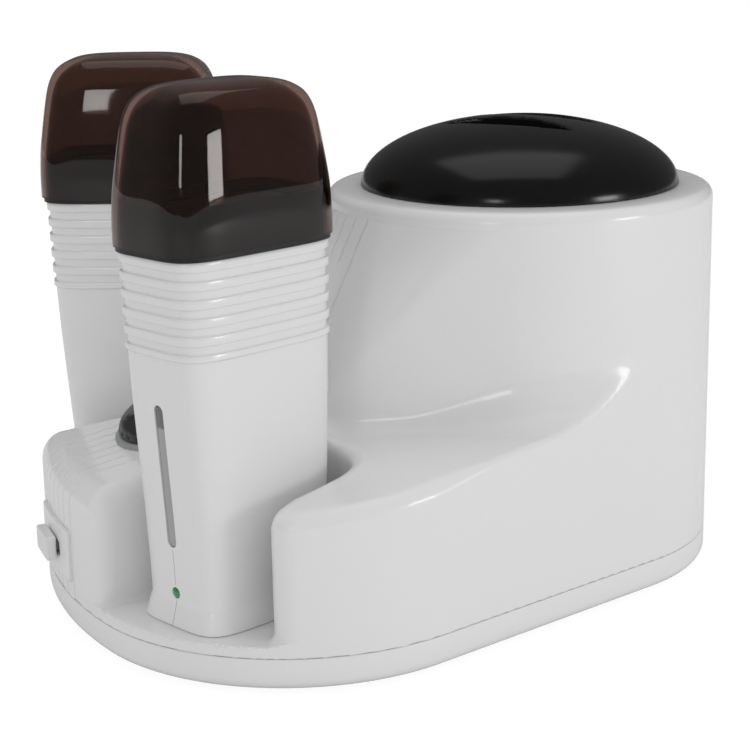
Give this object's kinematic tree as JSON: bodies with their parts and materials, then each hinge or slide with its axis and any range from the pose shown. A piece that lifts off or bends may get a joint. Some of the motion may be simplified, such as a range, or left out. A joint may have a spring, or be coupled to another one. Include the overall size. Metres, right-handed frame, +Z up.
{
  "type": "roll-on wax heater",
  "caption": "Roll-on wax heater: a round wax pot with a domed lid, a console with a dial and slide switch, and side docks holding hand-held roll-on warmers with clear caps.",
  "frame": {"origin": "middle of the whole object's footprint, at table height", "axes": "+Z up, +X from the roll-on docks towards the wax pot, -Y the side of the near roll-on in the picture"},
  "size_m": [0.282, 0.2284, 0.2103],
  "materials": {
    "housing_white": "white moulded plastic, glossy",
    "foot_rubber": "soft black rubber",
    "screw_steel": "zinc plated steel",
    "bare_aluminium": "bare drawn aluminium",
    "heater_mica": "mica heater band, matt",
    "lid_black": "black moulded plastic, satin",
    "bezel_grey": "grey moulded plastic, satin",
    "knob_black": "black moulded plastic, glossy",
    "inner_black": "black moulded plastic, matt",
    "contact_brass": "turned brass, plated",
    "board_green": "glass fibre circuit board",
    "board_parts": "moulded electronic components and standoffs",
    "window_grey": "grey clear plastic window",
    "lamp_green": "dark green translucent lamp cap",
    "neck_black": "black moulded plastic, satin",
    "cap_smoke": "smoke brown clear plastic"
  },
  "bodies": {
    "base": {"feet": "foot_rubber", "base_pan": "housing_white", "pan_screws": "screw_steel", "base_housing": "housing_white", "rim_ring": "housing_white", "rim_screws": "screw_steel", "heater_well": "bare_aluminium", "band_heater": "heater_mica", "thermal_cutout": "bare_aluminium", "knob_bezel": "bezel_grey", "thermostat": "inner_black", "switch_plate": "housing_white", "switch_body": "inner_black", "power_inlet": "inner_black", "inlet_pins": "contact_brass", "control_board": "board_green", "board_parts": "board_parts", "near_dock_block": "inner_black", "near_dock_pins": "contact_brass", "far_dock_block": "inner_black", "far_dock_pins": "contact_brass"},
    "lid": {"pot_lid": "lid_black"},
    "pot": {"wax_pot": "bare_aluminium"},
    "knob": {"temperature_knob": "knob_black", "thermostat_shaft": "screw_steel"},
    "slider": {"switch_slider": "housing_white"},
    "rollon_near": {"near_shell_left": "housing_white", "near_shell_right": "housing_white", "near_window": "window_grey", "near_lamp": "lamp_green", "near_neck": "neck_black", "near_chamber": "bare_aluminium", "near_heater": "screw_steel", "near_plug": "inner_black", "near_contacts": "contact_brass", "near_screws": "screw_steel"},
    "cap_near": {"near_cap": "cap_smoke"},
    "rollon_far": {"far_shell_left": "housing_white", "far_shell_right": "housing_white", "far_window": "window_grey", "far_lamp": "lamp_green", "far_neck": "neck_black", "far_chamber": "bare_aluminium", "far_heater": "screw_steel", "far_plug": "inner_black", "far_contacts": "contact_brass", "far_screws": "screw_steel"},
    "cap_far": {"far_cap": "cap_smoke"}
  },
  "joints": [
    {"name": "lid_lift", "type": "slide", "parent": "base", "child": "lid", "axis": [0, 0, 1], "range_m": [0, 0.16]},
    {"name": "pot_lift", "type": "slide", "parent": "base", "child": "pot", "axis": [0, 0, 1], "range_m": [0, 0.08]},
    {"name": "knob_turn", "type": "hinge", "parent": "base", "child": "knob", "pos_m": [-0.0824, 0, 0.07122], "axis": [-0.1961, 0, 0.9806], "range_deg": [0, 270]},
    {"name": "switch_slide", "type": "slide", "parent": "base", "child": "slider", "axis": [0, 1, 0], "range_m": [-0.006, 0.006]},
    {"name": "near_lift", "type": "slide", "parent": "base", "child": "rollon_near", "axis": [0, 0, 1], "range_m": [0, 0.1]},
    {"name": "near_cap_lift", "type": "slide", "parent": "rollon_near", "child": "cap_near", "axis": [0, 0, 1], "range_m": [0, 0.06]},
    {"name": "far_lift", "type": "slide", "parent": "base", "child": "rollon_far", "axis": [0, 0, 1], "range_m": [0, 0.1]},
    {"name": "far_cap_lift", "type": "slide", "parent": "rollon_far", "child": "cap_far", "axis": [0, 0, 1], "range_m": [0, 0.06]}
  ],
  "couplings": [
    {"joint": "pot_lift", "follows": "lid_lift", "ratio": 0.5}
  ]
}
